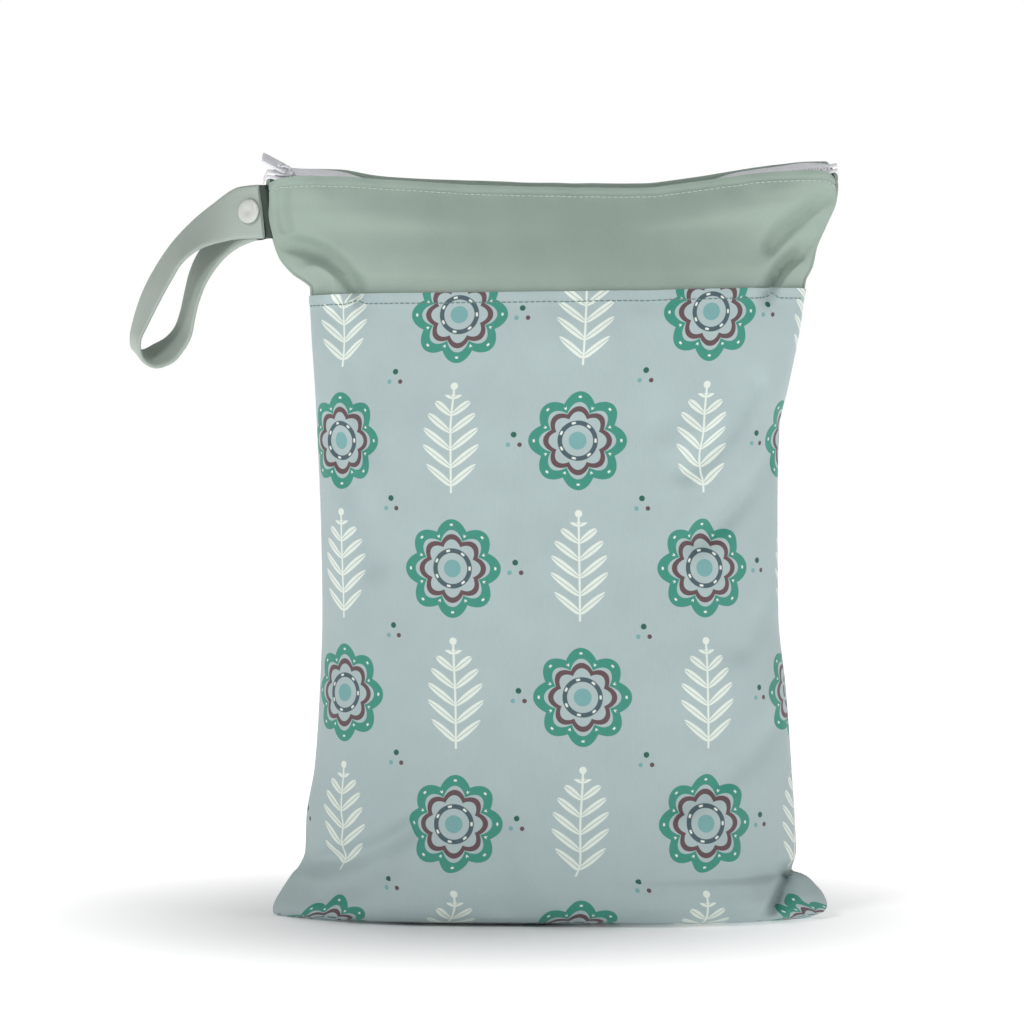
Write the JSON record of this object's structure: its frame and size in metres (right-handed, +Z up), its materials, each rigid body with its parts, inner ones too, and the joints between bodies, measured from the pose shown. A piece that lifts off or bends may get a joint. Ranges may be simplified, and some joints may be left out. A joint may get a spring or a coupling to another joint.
{
  "type": "waterproof diaper bag",
  "caption": "Soft standing fabric wet bag with a zipped mouth, an outer front pocket and a snapped strap loop for hanging.",
  "frame": {"origin": "middle of the whole bag's footprint, strap loop included, on the floor", "axes": "+Z up, the printed front pocket faces -Y, the strap loop is at -X"},
  "size_m": [0.3764, 0.12, 0.4024],
  "materials": {
    "shell_fabric": "fine knit, soft satin",
    "pocket_fabric": "fine printed knit, soft satin",
    "zip_tape": "woven tape",
    "zip_coil": "nylon coil",
    "zip_head": "white enamel",
    "strap_fabric": "fine knit, soft satin",
    "snap_plastic": "smooth moulded"
  },
  "bodies": {
    "bag": {"back_panel": "shell_fabric", "front_panel": "shell_fabric", "pocket_panel": "pocket_fabric", "zip_tape_front": "zip_tape", "zip_tape_back": "zip_tape", "zip_coil": "zip_coil", "zip_slider": "zip_head", "strap": "strap_fabric", "snap_cap": "snap_plastic", "snap_back": "snap_plastic"},
    "pull_tab": {"zip_pull": "zip_head"}
  },
  "joints": [
    {"name": "pull_hinge", "type": "hinge", "parent": "bag", "child": "pull_tab", "pos_m": [-0.10354, 0.00377, 0.39356], "axis": [0, 0.829, 0.5592], "range_deg": [-20, 130]}
  ]
}
